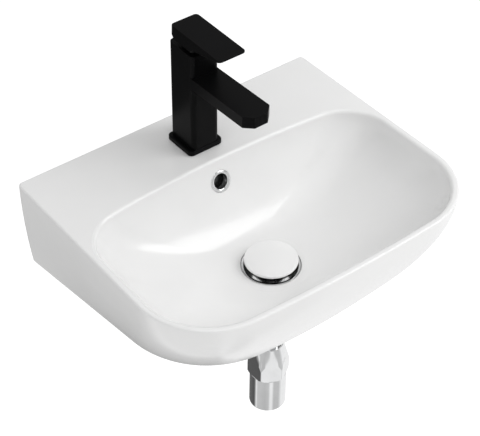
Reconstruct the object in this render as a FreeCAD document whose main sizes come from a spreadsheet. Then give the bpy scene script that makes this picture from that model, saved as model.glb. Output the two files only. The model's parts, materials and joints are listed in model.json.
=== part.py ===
import FreeCAD, Part
import math
import os

import Sketcher

# A compact wall hung basin with a single lever tap, an overflow, a push plug and the upper part of its waste.
# Frame: x to the right seen from the front, y into the wall (the wall face is y = 0), z up.
# The origin is midway between the two wall bolts, on the wall face.

os.makedirs("parts", exist_ok=True)
doc = FreeCAD.newDocument("wall_hung_basin")

# ---------------------------------------------------------------- sizes, in millimetres and degrees
sizes = {
    # ceramic shell
    "rim_height": 70.0,            # rim above the line of the wall bolts
    "shell_height": 125.0,         # rim to the bottom edge
    "back_width": 428.0,
    "front_width": 435.0,
    "basin_depth": 350.0,
    "back_corner": 6.0,
    "front_corner": 92.0,
    "front_bow": 3.5,
    "back_tuck": 9.0,              # how far each side has drawn in at the bottom, beside the wall
    "side_tuck": 31.0,             # the same near the front corners
    "front_tuck": 52.0,
    "corner_growth": 23.0,
    "side_curve": 1.95,
    "front_curve": 1.68,
    "skirt_wall": 10.0,
    "back_wall": 14.0,
    "deck_thickness": 14.0,
    "rim_round": 2.4,
    "low_edge_round": 2.5,
    "wall_shave": 0.4,             # ground off to leave a flat rear face
    # bowl
    "bowl_depth": 92.0,
    "bowl_back": 104.0,            # wall to the bowl's rear edge
    "rear_bow": 8.0,
    "rear_corner": 58.0,
    "rim_width": 9.0,
    "bowl_curve": 1.25,
    "bowl_wall": 10.0,
    "floor_half": 46.0,
    "floor_corner": 40.0,
    "floor_bow": 0.6,
    "bowl_round": 4.5,
    # holes in the ceramic
    "bolt_spacing": 280.0,
    "bolt_hole": 14.0,
    "tap_back": 59.0,              # wall to the tap's axis
    "tap_hole": 35.0,
    "waste_back": 210.0,           # wall to the waste's axis
    "waste_hole": 46.0,
    "recess_width": 73.0,
    "recess_lip": 3.6,
    "recess_depth": 9.5,
    "boss_width": 74.0,
    "boss_gap": 1.0,               # waste boss to the bottom edge
    "cutout_width": 200.0,
    "cutout_height": 84.0,
    # overflow
    "overflow_drop": 30.0,         # rim to the centre of the overflow
    "overflow_hole": 22.0,
    "overflow_tilt": 19.5,
    "overflow_seat": 28.6,
    "ring_width": 28.0,
    "ring_bore": 19.2,
    "ring_thick": 2.2,
    "ring_sink": 0.9,
    "ring_length": 9.0,
    "duct_width": 40.0,
    "channel_width": 28.0,
    "channel_gap": 9.0,
    "duct_wall": 5.5,
    # fits
    "slip_gap": 0.2,               # parts that are pushed together by hand
    "snug_gap": 0.05,              # threads and pins, and turning fits
    "free_gap": 0.4,               # between moving parts
    # tap body and spout, heights above the deck
    "tap_width": 38.5,
    "tap_length": 46.5,
    "tap_height": 142.0,
    "tap_corner": 6.0,
    "spout_reach": 127.0,
    "spout_top": 110.5,            # at the tap's axis
    "spout_slope": 0.0466,
    "spout_thick": 14.9,
    "spout_chamfer": 10.0,
    "spigot_width": 31.6,
    "spigot_depth": 4.0,
    "core_roof": 5.4,
    "core_floor": 4.0,
    "core_width": 9.0,
    "core_start": 3.0,
    # foot of the tap
    "foot_pad_side": 47.0,
    "foot_pad_thick": 1.2,
    "foot_side": 49.0,
    "foot_thick": 5.8,
    "foot_corner": 6.5,
    "foot_round": 1.6,
    # water ways
    "port_offset": 6.5,
    "port_back": 3.5,
    "port_thread": 8.92,           # core of the thread for each supply hose
    "port_depth": 12.0,
    "inlet_bore": 6.0,
    "outlet_front": 6.2,
    "outlet_bore": 6.0,
    # aerator
    "aerator_back": 12.5,
    "aerator_bore": 18.0,
    "aerator_depth": 11.0,
    "aerator_skin": 1.3,
    "aerator_height": 9.0,
    "aerator_grid": 5.5,
    "aerator_hole": 1.9,
    "aerator_inset": 1.0,
    # cartridge, from the seat upwards
    "seat_height": 111.0,
    "cartridge_width": 24.6,
    "port_seal_thick": 0.8,
    "port_seal_width": 8.4,
    "base_thick": 2.2,
    "disc_width": 21.2,
    "disc_thick": 3.0,
    "disc_port": 3.6,
    "disc_inset": 0.85,
    "moving_disc_width": 14.0,
    "moving_disc_thick": 2.8,
    "mixing_pocket": 7.0,
    "slider_thick": 2.8,
    "carrier_flange": 6.0,
    "carrier_width": 17.0,
    "housing_wall": 1.5,
    "housing_roof": 3.6,
    "housing_neck": 7.5,
    "neck_wall": 1.1,
    "pivot_rise": 7.0,
    "pivot_pin": 3.0,
    "pivot_length": 15.6,
    "slot_front": 5.2,
    "slot_rear": 6.8,
    "thread_width": 27.0,
    "thread_start": 2.0,
    "ring_nut_thick": 7.0,
    "shroud_width": 28.0,
    "shroud_thick": 1.4,
    "shroud_bore": 21.0,
    "stem_width": 6.0,
    "stem_thick": 5.0,
    "stem_tip": 4.0,
    "stem_knee": 4.0,
    "stem_height": 161.0,
    "slider_play": 0.9,
    # lever
    "lever_gap": 6.0,
    "lever_thick": 17.8,
    "lever_rear": 19.5,
    "lever_reach": 74.5,
    "lever_width": 38.0,
    "lever_chamfer": 6.5,
    "lever_chamfer_rise": 4.0,
    "paddle_start": 4.5,
    "paddle_tip": 2.0,
    "lever_corner": 5.0,
    "screw_height": 157.0,
    "screw_width": 5.0,
    "screw_length": 8.0,
    "button_width": 8.0,
    "button_thick": 2.6,
    # fixing of the tap under the deck
    "stud_width": 6.0,
    "stud_front": 9.5,
    "stud_grip": 12.0,
    "stud_length": 74.0,
    "horseshoe_width": 46.0,
    "horseshoe_slot": 24.0,
    "horseshoe_start": 4.0,
    "horseshoe_seal": 3.0,
    "horseshoe_thick": 2.0,
    "fixing_nut_width": 10.0,
    "fixing_nut_length": 14.0,
    # waste fitting, heights below the bowl's floor
    "flange_width": 71.0,
    "flange_edge": 0.6,
    "flange_seal_thick": 1.2,
    "flange_seal_bore": 52.0,
    "throat_width": 65.2,
    "throat_depth": 6.6,
    "barrel_width": 41.9,
    "barrel_bore": 36.0,
    "barrel_drop": 63.0,           # below the ceramic
    "slot_width": 14.0,
    "slot_top": 13.5,
    "slot_height": 9.5,
    "lower_seal_width": 66.0,
    "lower_seal_thick": 6.0,
    "washer_width": 60.0,
    "washer_thick": 2.0,
    "back_nut_flats": 52.0,
    "back_nut_thick": 12.0,
    # plug
    "cap_width": 65.0,
    "cap_lift": 6.5,               # underside of the cap above the floor when open
    "cap_edge": 3.2,
    "cap_crown": 3.4,
    "cap_round": 1.2,
    "carrier_plate_width": 49.0,
    "carrier_plate_thick": 3.9,
    "carrier_hub_width": 16.0,
    "carrier_hub_length": 5.6,
    "plug_seal_width": 62.0,
    "plug_seal_foot": 53.6,        # the same at the low edge, so that it seats in the throat
    "plug_seal_thick": 2.7,
    "plug_stem_width": 8.0,
    "plug_stem_low": 60.0,
    "latch_top": 30.0,
    "latch_length": 26.0,
    "latch_hub_width": 14.0,
    "latch_web": 4.0,
    "latch_window": 9.0,
    "latch_ring": 24.6,
    "clip_width": 12.0,
    "clip_thick": 1.0,
    "spring_wire": 1.0,
    "spring_width": 11.4,
    "spring_turns": 7.0,
    # tail below the waste
    "tail_width": 32.0,
    "tail_wall": 1.2,
    "tail_collar": 40.4,
    "tail_collar_thick": 2.0,
    "tail_insert": 44.5,           # how far the pipe enters the coupling
    "tail_washer_thick": 1.5,
    "union_flats": 48.0,
    "union_grip": 11.0,
    "union_lip": 5.0,
    "coupling_corners": 53.4,
    "coupling_turn": 58.4,         # how far the hexagon is screwed round
    "coupling_drop": 35.0,         # below the barrel
    "coupling_top_width": 37.0,
    "coupling_cone": 32.0,
    "coupling_height": 50.5,
    "coupling_roof": 20.0,
    "coupling_thread": 41.0,
    "coupling_foot_width": 49.0,
    "coupling_foot_rise": 3.0,
    "cone_washer_thick": 5.0,
    "socket_width": 46.6,
    "socket_length": 53.5,
    "socket_bore": 40.2,
    "socket_stop": 5.0,
    "socket_round": 1.5,
}


class Size:
    # A length that carries both its sheet expression and its present value.
    def __init__(self, text, value):
        self.text = text
        self.value = value

    def __add__(self, other):
        return Size(f"({self.text} + {size_of(other).text})", self.value + size_of(other).value)

    def __sub__(self, other):
        return Size(f"({self.text} - {size_of(other).text})", self.value - size_of(other).value)

    def __mul__(self, other):
        return Size(f"({self.text} * {size_of(other).text})", self.value * size_of(other).value)

    def __truediv__(self, other):
        return Size(f"({self.text} / {size_of(other).text})", self.value / size_of(other).value)

    def __neg__(self):
        return self * -1.0

    def __radd__(self, other):
        return size_of(other) + self

    def __rsub__(self, other):
        return size_of(other) - self

    def __rmul__(self, other):
        return size_of(other) * self

    def __pow__(self, other):
        return Size(f"({self.text} ^ {size_of(other).text})", self.value ** size_of(other).value)

    def __rpow__(self, base):
        return size_of(base) ** self


def size_of(item):
    return item if isinstance(item, Size) else Size(f"({float(item):.6f})", float(item))


sheet = doc.addObject("Spreadsheet::Sheet", "Sizes")
for row, (word, number) in enumerate(sizes.items(), start=1):
    sheet.set(f"A{row}", word)
    sheet.set(f"B{row}", str(number))
    sheet.setAlias(f"B{row}", word)
doc.recompute()
cell = {word: Size(f"Sizes.{word}", number) for word, number in sizes.items()}


def is_zero(item):
    return not isinstance(item, Size) and item == 0


def bind(thing, path, size):
    thing.setExpression(path, size_of(size).text)


def place(thing, x=0, y=0, z=0, turn=None, angle=None):
    if turn:
        thing.Placement = FreeCAD.Placement(FreeCAD.Vector(), FreeCAD.Rotation(FreeCAD.Vector(*turn), 90))
    if angle is not None:
        bind(thing, "Placement.Rotation.Angle", angle)
    for axis, size in (("x", x), ("y", y), ("z", z)):
        if not is_zero(size):
            bind(thing, f"Placement.Base.{axis}", size)
    return thing


# ---------------------------------------------------------------- sketches
def fix(sketch, curve, end, across, along):
    # ties a point to the sketch origin by two sizes
    for kind, size, axis in (("DistanceX", across, -2), ("DistanceY", along, -1)):
        if is_zero(size):
            sketch.addConstraint(Sketcher.Constraint("PointOnObject", curve, end, axis))
        else:
            index = sketch.addConstraint(Sketcher.Constraint(kind, -1, 1, curve, end, size_of(size).value))
            bind(sketch, f"Constraints[{index}]", size)


def polygon(sketch, points):
    first = sketch.GeometryCount
    spots = [FreeCAD.Vector(size_of(u).value, size_of(v).value, 0) for u, v in points]
    for start, end in zip(spots, spots[1:] + spots[:1]):
        sketch.addGeometry(Part.LineSegment(start, end))
    for step, (u, v) in enumerate(points):
        here = first + step
        before = first + (step - 1) % len(points)
        sketch.addConstraint(Sketcher.Constraint("Coincident", before, 2, here, 1))
        fix(sketch, here, 1, u, v)
    return sketch


def ring(name, height, rear, rear_half, rear_radius, rear_bow, front, front_half, front_radius, front_bow):
    # A closed outline at one height: rear and front edges, two sides and four round corners, all tangent.
    # rear and front are distances from the wall; a rear_bow of None gives a straight rear edge.
    sketch = doc.addObject("Sketcher::SketchObject", name)
    bind(sketch, "Placement.Base.z", height)
    straight = rear_bow is None
    rear_y = -(rear + rear_radius) if straight else -(rear + rear_bow + rear_radius)
    front_y = -(front - front_bow - front_radius)
    corners = [
        (rear_half - rear_radius, rear_y, rear_radius, 1),
        (-(rear_half - rear_radius), rear_y, rear_radius, -1),
        (-(front_half - front_radius), front_y, front_radius, -1),
        (front_half - front_radius, front_y, front_radius, 1),
    ]
    lean = side_lean(corners[0], corners[3])
    rear_span = math.pi / 2 if straight else edge_angle(corners[0][0], rear_bow)
    front_span = edge_angle(corners[3][0], front_bow)
    spans = [
        (lean, rear_span),
        (math.pi - rear_span, math.pi - lean),
        (math.pi - lean, math.pi + front_span),
        (-front_span, lean),
    ]
    for (x, y, radius, _), (start, end) in zip(corners, spans):
        centre = FreeCAD.Vector(x.value, y.value, 0)
        circle = Part.Circle(centre, FreeCAD.Vector(0, 0, 1), radius.value)
        sketch.addGeometry(Part.ArcOfCircle(circle, start, end))
    for curve, (x, y, radius, _) in enumerate(corners):
        fix(sketch, curve, 3, x, y)
        index = sketch.addConstraint(Sketcher.Constraint("Radius", curve, radius.value))
        bind(sketch, f"Constraints[{index}]", radius)
    ends = [(sketch.getPoint(curve, 1), sketch.getPoint(curve, 2)) for curve in range(4)]
    left = sketch.addGeometry(Part.LineSegment(ends[1][1], ends[2][0]))
    right = sketch.addGeometry(Part.LineSegment(ends[3][1], ends[0][0]))
    if straight:
        back = sketch.addGeometry(Part.LineSegment(ends[0][1], ends[1][0]))
    else:
        back = sketch.addGeometry(wide_arc(-rear, -1, corners[0][0], rear_radius, rear_bow, rear_span))
    face = sketch.addGeometry(wide_arc(-front, 1, corners[3][0], front_radius, front_bow, front_span))
    joins = [(0, 2, back, 1), (back, 2, 1, 1), (1, 2, left, 1), (left, 2, 2, 1),
             (2, 2, face, 1), (face, 2, 3, 1), (3, 2, right, 1), (right, 2, 0, 1)]
    for pair in joins:
        sketch.addConstraint(Sketcher.Constraint("Tangent", *pair))
    for curve, reach in [(face, -front)] + ([] if straight else [(back, -rear)]):
        tip = sketch.addGeometry(Part.Point(FreeCAD.Vector(0, reach.value, 0)), True)
        fix(sketch, tip, 1, 0, reach)
        sketch.addConstraint(Sketcher.Constraint("PointOnObject", tip, 1, curve))
    return sketch


def side_lean(rear, front):
    # the direction of the normal of the line that touches both right hand corner circles
    dx = front[0].value - rear[0].value
    dy = front[1].value - rear[1].value
    reach = math.hypot(dx, dy)
    return math.atan2(-dx, -dy) * -1 + math.asin((rear[2].value - front[2].value) / reach) * -1


def edge_angle(half, bow):
    # direction, from the corner's centre, in which the wide front or rear arc touches the corner
    swell = (half.value ** 2 + bow.value ** 2) / (2 * bow.value)
    return math.pi / 2 - math.asin(half.value / swell)


def wide_arc(reach, sense, half, radius, bow, span):
    # the wide arc through (0, reach): it opens towards +y where sense is 1
    swell = (half.value ** 2 + bow.value ** 2) / (2 * bow.value) + radius.value
    centre = FreeCAD.Vector(0, reach.value + sense * swell, 0)
    circle = Part.Circle(centre, FreeCAD.Vector(0, 0, 1), swell)
    if sense > 0:
        return Part.ArcOfCircle(circle, math.pi + span, 2 * math.pi - span)
    return Part.ArcOfCircle(circle, span, math.pi - span)


def loft(name, rings):
    shape = doc.addObject("Part::Loft", name)
    shape.Sections = rings
    shape.Solid = True
    return shape


# ---------------------------------------------------------------- solids
nodes = []
SIDES = {"top": "XY_Plane", "front": "XZ_Plane", "side": "YZ_Plane"}


def keep(shape):
    nodes.append(shape)
    return shape


def new_body(name):
    return keep(doc.addObject("PartDesign::Body", name))


def sketch_in(body, side, offset=0):
    plane = next(item for item in body.Origin.OriginFeatures if item.Role == SIDES[side])
    sketch = body.newObject("Sketcher::SketchObject", f"{body.Name}_sketch")
    sketch.AttachmentSupport = [(plane, "")]
    sketch.MapMode = "FlatFace"
    if not is_zero(offset):
        bind(sketch, "AttachmentOffset.Base.z", offset)
    return sketch


def circle(sketch, x, y, radius):
    centre = FreeCAD.Vector(size_of(x).value, size_of(y).value, 0)
    curve = sketch.addGeometry(Part.Circle(centre, FreeCAD.Vector(0, 0, 1), size_of(radius).value))
    fix(sketch, curve, 3, x, y)
    index = sketch.addConstraint(Sketcher.Constraint("Radius", curve, size_of(radius).value))
    bind(sketch, f"Constraints[{index}]", radius)


def block(sketch, low_u, high_u, low_v, high_v):
    return polygon(sketch, [(low_u, low_v), (high_u, low_v), (high_u, high_v), (low_u, high_v)])


def turned(name, points):
    # a solid of revolution about z, drawn as radius and height
    body = new_body(name)
    sketch = sketch_in(body, "front")
    polygon(sketch, points)
    feature = body.newObject("PartDesign::Revolution", f"{name}_turn")
    feature.Profile = sketch
    feature.ReferenceAxis = (sketch, ["V_Axis"])
    feature.Angle = 360
    return body


def lathe(body, points):
    # cuts a turned groove into the body
    sketch = sketch_in(body, "front")
    polygon(sketch, points)
    feature = body.newObject("PartDesign::Groove", f"{body.Name}_groove")
    feature.Profile = sketch
    feature.ReferenceAxis = (sketch, ["V_Axis"])
    feature.Angle = 360


def pad(body, sketch, length, middle=False):
    feature = body.newObject("PartDesign::Pad", f"{body.Name}_pad")
    feature.Profile = sketch
    feature.SideType = "Symmetric" if middle else "One side"
    bind(feature, "Length", length)
    return feature


def pocket(body, sketch, length, middle=False):
    # cuts the way the sketch faces, or both ways alike
    feature = body.newObject("PartDesign::Pocket", f"{body.Name}_pocket")
    feature.Profile = sketch
    feature.SideType = "Symmetric" if middle else "One side"
    feature.Reversed = not middle
    bind(feature, "Length", length)
    return feature


def drill(body, radius, height, x=0, y=0, z=0, turn=None, angle=None):
    hole = body.newObject("PartDesign::SubtractiveCylinder", f"{body.Name}_hole")
    bind(hole, "Radius", radius)
    bind(hole, "Height", height)
    return place(hole, x, y, z, turn, angle)


def soften(body, size, pick, kind="Fillet"):
    # rounds or bevels the edges that pick chooses
    doc.recompute()
    tip = body.Tip
    names = [f"Edge{number}" for number, edge in enumerate(tip.Shape.Edges, start=1) if pick(edge)]
    feature = body.newObject(f"PartDesign::{kind}", f"{body.Name}_{kind.lower()}")
    feature.Base = (tip, names)
    bind(feature, "Radius" if kind == "Fillet" else "Size", size)
    return feature


def near(value, size, slack=0.01):
    return abs(value - size_of(size).value) < slack


def upright(edge):
    box = edge.BoundBox
    return box.ZLength > 0.5 and box.XLength < 0.01 and box.YLength < 0.01


def level(edge, height):
    box = edge.BoundBox
    return box.ZLength < 0.01 and near(box.ZMin, height)


def simple(kind, name, **lengths):
    shape = doc.addObject(f"Part::{kind}", name)
    for word, length in lengths.items():
        if isinstance(length, Size):
            bind(shape, word, length)
        else:
            setattr(shape, word, length)
    return shape


def rod(name, radius, height, x=0, y=0, z=0, turn=None, angle=None):
    return place(simple("Cylinder", name, Radius=radius, Height=height), x, y, z, turn, angle)


def brick(name, length, width, height, x=0, y=0, z=0):
    return place(simple("Box", name, Length=length, Width=width, Height=height), x, y, z)


def cut(name, base, tool):
    shape = doc.addObject("Part::Cut", name)
    shape.Base = base
    shape.Tool = tool
    return shape


def join(name, shapes):
    shape = doc.addObject("Part::MultiFuse", name)
    shape.Shapes = shapes
    return shape


def slab(name, points, width):
    # a side view drawn in y and z, as thick as width and centred on x = 0
    sketch = polygon(doc.addObject("Sketcher::SketchObject", f"{name}_outline"), points)
    sketch.Placement = FreeCAD.Placement(FreeCAD.Vector(), FreeCAD.Rotation(FreeCAD.Vector(1, 1, 1), 120))
    shape = doc.addObject("Part::Extrusion", name)
    shape.Base = sketch
    shape.DirMode = "Normal"
    shape.Solid = True
    shape.Symmetric = True
    bind(shape, "LengthFwd", width)
    return shape


# ---------------------------------------------------------------- ceramic basin
half_turn = math.pi / 2


def shell_ring(name, share, wall, rear):
    # share is 0 at the rim and 1 at the bottom edge; wall is measured in from the outside
    side = share ** cell["side_curve"] if share else 0.0
    face = share ** cell["front_curve"] if share else 0.0
    return ring(
        name,
        cell["rim_height"] - cell["shell_height"] * share,
        size_of(rear),
        cell["back_width"] / 2 - cell["back_tuck"] * side - wall,
        size_of(cell["back_corner"]),
        None,
        cell["basin_depth"] - cell["front_tuck"] * face - wall,
        cell["front_width"] / 2 - cell["side_tuck"] * side - wall,
        cell["front_corner"] + cell["corner_growth"] * side - wall,
        cell["front_bow"],
    )


def bowl_ring(name, step, steps, wall):
    # step 0 lies at the rim and the last step on the floor; wall makes the same ring of the bowl's underside
    angle = half_turn * step / steps
    spread = max(math.cos(angle), 0.0) ** cell["bowl_curve"] if step < steps else 0.0
    sunk = math.sin(angle) ** cell["bowl_curve"] if step else 0.0
    low = cell["floor_half"]
    rear_half = (cell["back_width"] + cell["front_width"]) / 4 - cell["rim_width"]
    front_half = cell["front_width"] / 2 - cell["rim_width"]
    rear = cell["waste_back"] - low - (cell["waste_back"] - low - cell["bowl_back"]) * spread
    front = cell["waste_back"] + low
    front = front + (cell["basin_depth"] - cell["rim_width"] - front) * spread
    front_corner = cell["front_corner"] - cell["rim_width"]
    return ring(
        name,
        cell["rim_height"] - (cell["bowl_depth"] + wall) * sunk,
        rear - wall,
        low + (rear_half - low) * spread + wall,
        cell["floor_corner"] + (cell["rear_corner"] - cell["floor_corner"]) * spread + wall,
        cell["floor_bow"] + (cell["rear_bow"] - cell["floor_bow"]) * spread,
        front + wall,
        low + (front_half - low) * spread + wall,
        cell["floor_corner"] + (front_corner - cell["floor_corner"]) * spread + wall,
        cell["floor_bow"] + (cell["front_bow"] - cell["floor_bow"]) * spread,
    )


def bowl_side(angle, depth):
    # a point of the bowl's middle rear profile, moved out of the bowl by depth
    spread = math.cos(angle) ** cell["bowl_curve"]
    sunk = math.sin(angle) ** cell["bowl_curve"]
    low = cell["waste_back"] - cell["floor_half"]
    reach = low - (low - cell["bowl_back"]) * spread
    height = cell["rim_height"] - cell["bowl_depth"] * sunk
    return (depth * math.cos(angle) - reach, height - depth * math.sin(angle))


def cosine(angle):
    return Size(f"cos({angle.text})", math.cos(math.radians(angle.value)))


def sine(angle):
    return Size(f"sin({angle.text})", math.sin(math.radians(angle.value)))


def rounded(name, base, radii):
    # rounds the edges of base; radii pairs a test of the edge with its radius
    doc.recompute()
    shape = doc.addObject("Part::Fillet", name)
    shape.Base = base
    chosen = []
    for number, edge in enumerate(base.Shape.Edges, start=1):
        for pick, radius in radii:
            if pick(edge):
                chosen.append((number, radius, radius))
                break
    shape.Edges = chosen
    return shape


def at_rim(edge):
    return level(edge, rim)


def at_low_edge(edge):
    return level(edge, rim - cell["shell_height"])


def on_bowl(edge):
    box = edge.BoundBox
    inside = box.YMin > 1 - cell["basin_depth"].value and box.YMax < 5 - cell["bowl_back"].value
    return at_rim(edge) and inside and max(box.XMax, -box.XMin) < cell["front_width"].value / 2 - 5


rim = cell["rim_height"]
floor = rim - cell["bowl_depth"]
tap_y = -cell["tap_back"]
waste_y = -cell["waste_back"]
shell_steps = 5
bowl_steps = 8
roof_share = cell["deck_thickness"] / cell["shell_height"]
hollow_shares = [roof_share, 0.25, 0.45, 0.65, 0.85, 1.05]
shell_rings = [
    shell_ring(f"shell_{k}", k / shell_steps, 0.0, -cell["wall_shave"])
    for k in range(shell_steps + 1)
]
shell = rounded("shell", loft("shell_blank", shell_rings), [(at_low_edge, sizes["low_edge_round"])])
bowl = loft("bowl", [bowl_ring(f"bowl_{k}", k, bowl_steps, 0.0) for k in range(bowl_steps + 1)])
hollow_rings = [
    shell_ring(f"hollow_{k}", share, cell["skirt_wall"], cell["back_wall"])
    for k, share in enumerate(hollow_shares)
]
hollow = loft("hollow", hollow_rings)
underside_rings = [
    bowl_ring(f"underside_{k}", k, bowl_steps, cell["bowl_wall"])
    for k in range(bowl_steps + 1)
]
underside = loft("underside", underside_rings)

# the overflow runs down behind the bowl and into the waste
channel_far = cell["duct_wall"] + cell["channel_gap"]
duct_far = channel_far + cell["duct_wall"]
steps_down = [math.radians(angle) for angle in (16, 30, 45, 58, 70)]
bore_y = waste_y + cell["waste_hole"] / 2 - 3
slot_high = floor - cell["slot_top"]
slot_low = slot_high - cell["slot_height"]
channel_points = [bowl_side(angle, cell["duct_wall"]) for angle in steps_down]
channel_points += [(bore_y, slot_high), (bore_y, slot_low)]
channel_points += [bowl_side(angle, channel_far) for angle in reversed(steps_down)]
duct_points = [bowl_side(angle, size_of(0)) for angle in steps_down]
duct_points += [(bore_y, floor - 3), (bore_y, slot_low - cell["duct_wall"])]
duct_points += [bowl_side(angle, duct_far) for angle in reversed(steps_down)]
duct_points += [(duct_points[-1][0], rim - 4), (duct_points[0][0], rim - 4)]
channel = slab("channel", channel_points, cell["channel_width"])
duct = slab("duct", duct_points, cell["duct_width"])
boss_height = cell["shell_height"] - cell["bowl_depth"] - cell["boss_gap"]
boss = rod("boss", cell["boss_width"] / 2, boss_height + 4, 0, waste_y, floor - boss_height)
void = cut("void", hollow, join("inner_walls", [underside, duct, boss]))
casting = cut("casting", cut("skirted", shell, void), bowl)

softened = rounded("softened", casting, [
    (on_bowl, sizes["bowl_round"]),
    (at_rim, sizes["rim_round"]),
])
recess_slope = (cell["recess_depth"] - cell["recess_lip"]) / (cell["recess_width"] - cell["waste_hole"]) * 2
waste_bore = turned("waste_bore", [
    (0, 20),
    (cell["recess_width"] / 2, 20),
    (cell["recess_width"] / 2, -cell["recess_lip"]),
    (cell["waste_hole"] / 2, -cell["recess_depth"]),
    (cell["waste_hole"] / 2, -boss_height - 10),
    (0, -boss_height - 10),
])
nodes.remove(waste_bore)
place(waste_bore, 0, waste_y, floor)

# the overflow hole looks square into the sloping rear of the bowl
overflow_angle = math.asin((cell["overflow_drop"] / cell["bowl_depth"]).value ** (1 / sizes["bowl_curve"]))
overflow_y = bowl_side(overflow_angle, size_of(0))[0]
overflow_z = rim - cell["overflow_drop"]
lean = cell["overflow_tilt"]


def sunk_into_bowl(depth):
    # y and z of a point on the overflow's axis
    return (overflow_y + depth * cosine(lean), overflow_z - depth * sine(lean))


hole_y, hole_z = sunk_into_bowl(cell["duct_wall"] + cell["channel_gap"] / 2)
hole_length = cell["duct_wall"] + cell["channel_gap"]
hole_radius = cell["overflow_hole"] / 2
overflow_hole = rod("overflow_hole", hole_radius, hole_length, 0, hole_y, hole_z, (1, 0, 0), 90 - lean)
seat_y, seat_z = sunk_into_bowl(cell["ring_sink"])
overflow_seat = rod("overflow_seat", cell["overflow_seat"] / 2, 10.0, 0, seat_y, seat_z, (1, 0, 0), 90 - lean)
deck = cell["deck_thickness"]
tap_hole = rod("tap_hole", cell["tap_hole"] / 2, deck + 4, 0, tap_y, rim - deck - 2)
bolt_x = cell["bolt_spacing"] / 2
bolt_holes = [
    rod(f"bolt_hole_{side}", cell["bolt_hole"] / 2, cell["back_wall"] + 4, sign * bolt_x, 2, 0, (1, 0, 0))
    for side, sign in (("left", -1), ("right", 1))
]
cutout = brick(
    "rear_cutout", cell["cutout_width"], cell["back_wall"] + 4, cell["cutout_height"] + 2,
    -cell["cutout_width"] / 2, -cell["back_wall"] - 2, rim - cell["shell_height"] - 2,
)
rear_block = brick(
    "rear_block", cell["back_width"] + 40, 20, cell["shell_height"] + 40,
    -(cell["back_width"] + 40) / 2, 0, rim - cell["shell_height"] - 20,
)
hole_tools = [waste_bore, overflow_hole, overflow_seat, tap_hole, channel, cutout, rear_block]
cutters = join("basin_cutters", hole_tools + bolt_holes)
keep(cut("basin", softened, cutters))


# ---------------------------------------------------------------- overflow trim
def at_tap(thing):
    return place(thing, 0, tap_y, rim)


def at_waste(thing):
    return place(thing, 0, waste_y, floor)


def ring_points(outer, inner, low, high):
    return [(inner, low), (outer, low), (outer, high), (inner, high)]


slip = cell["slip_gap"]
snug = cell["snug_gap"]
free = cell["free_gap"]
ring_out = cell["ring_width"] / 2
ring_in = cell["ring_bore"] / 2
sleeve_out = hole_radius - slip
overflow_ring = turned("overflow_ring", [
    (ring_in, cell["ring_thick"] - cell["ring_length"]),
    (sleeve_out, cell["ring_thick"] - cell["ring_length"]),
    (sleeve_out, 0),
    (ring_out, 0),
    (ring_out, cell["ring_thick"] * 0.4),
    (ring_out - cell["ring_thick"] * 0.6, cell["ring_thick"]),
    (ring_in + cell["ring_thick"] * 0.4, cell["ring_thick"]),
    (ring_in, cell["ring_thick"] * 0.6),
])
place(overflow_ring, 0, seat_y, seat_z, (1, 0, 0), 90 - lean)

# ---------------------------------------------------------------- tap body and its foot
half_width = cell["tap_width"] / 2
half_length = cell["tap_length"] / 2
foot_top = cell["foot_pad_thick"] + cell["foot_thick"]
seat = cell["seat_height"]
base_low = seat + cell["port_seal_thick"]
disc_low = base_low + cell["base_thick"]
moving_low = disc_low + cell["disc_thick"]
slider_low = moving_low + cell["moving_disc_thick"]
slider_high = slider_low + cell["slider_thick"]
flange_low = slider_high + free
flange_high = flange_low + cell["carrier_flange"]
pivot = flange_low + cell["pivot_rise"]
roof_high = flange_high + free + cell["housing_roof"]
bore_radius = cell["cartridge_width"] / 2 + slip
port_spots = [(-cell["port_offset"], cell["port_back"]), (cell["port_offset"], cell["port_back"])]
outlet_spot = (0, -cell["outlet_front"])
stud_y = -cell["stud_front"]


def spout_line(y, drop):
    # height of the spout's top at y, less drop; y is negative towards the front
    return cell["spout_top"] - cell["spout_slope"] * y - drop


tap_body = at_tap(new_body("tap_body"))
column = sketch_in(tap_body, "top", foot_top)
block(column, -half_width, half_width, -half_length, half_length)
pad(tap_body, column, cell["tap_height"] - foot_top)
soften(tap_body, cell["tap_corner"], upright)
spout_tip = -cell["spout_reach"]
spout_side = sketch_in(tap_body, "side")
polygon(spout_side, [
    (spout_tip, spout_line(spout_tip, cell["spout_thick"])),
    (-half_length / 2, spout_line(-half_length / 2, cell["spout_thick"])),
    (-half_length / 2, spout_line(-half_length / 2, 0)),
    (spout_tip, spout_line(spout_tip, 0)),
])
pad(tap_body, spout_side, cell["tap_width"], True)
at_tip = lambda edge: upright(edge) and near(edge.BoundBox.YMin, spout_tip)
soften(tap_body, cell["spout_chamfer"], at_tip, "Chamfer")
spigot_low = -cell["spigot_depth"]
spigot = sketch_in(tap_body, "top", spigot_low)
circle(spigot, 0, 0, cell["spigot_width"] / 2)
pad(tap_body, spigot, cell["spigot_depth"] + foot_top)
core = sketch_in(tap_body, "side")
aerator_y = cell["aerator_back"] - cell["spout_reach"]
polygon(core, [
    (aerator_y, spout_line(aerator_y, cell["spout_thick"] - cell["core_floor"])),
    (-cell["core_start"], spout_line(-cell["core_start"], cell["spout_thick"] - cell["core_floor"])),
    (-cell["core_start"], spout_line(-cell["core_start"], cell["core_roof"])),
    (aerator_y, spout_line(aerator_y, cell["core_roof"])),
])
pocket(tap_body, core, cell["core_width"], True)
thread_low = roof_high - cell["thread_start"]
drill(tap_body, bore_radius, cell["tap_height"] - seat + 2, 0, 0, seat)
drill(tap_body, cell["thread_width"] / 2, cell["tap_height"] - thread_low + 2, 0, 0, thread_low)
for port_x, port_y in port_spots:
    drill(tap_body, cell["port_thread"] / 2, cell["port_depth"] + 1, port_x, port_y, spigot_low - 1)
    drill(tap_body, cell["inlet_bore"] / 2, seat + 1, port_x, port_y, 0)
roof = cell["core_roof"]
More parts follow.
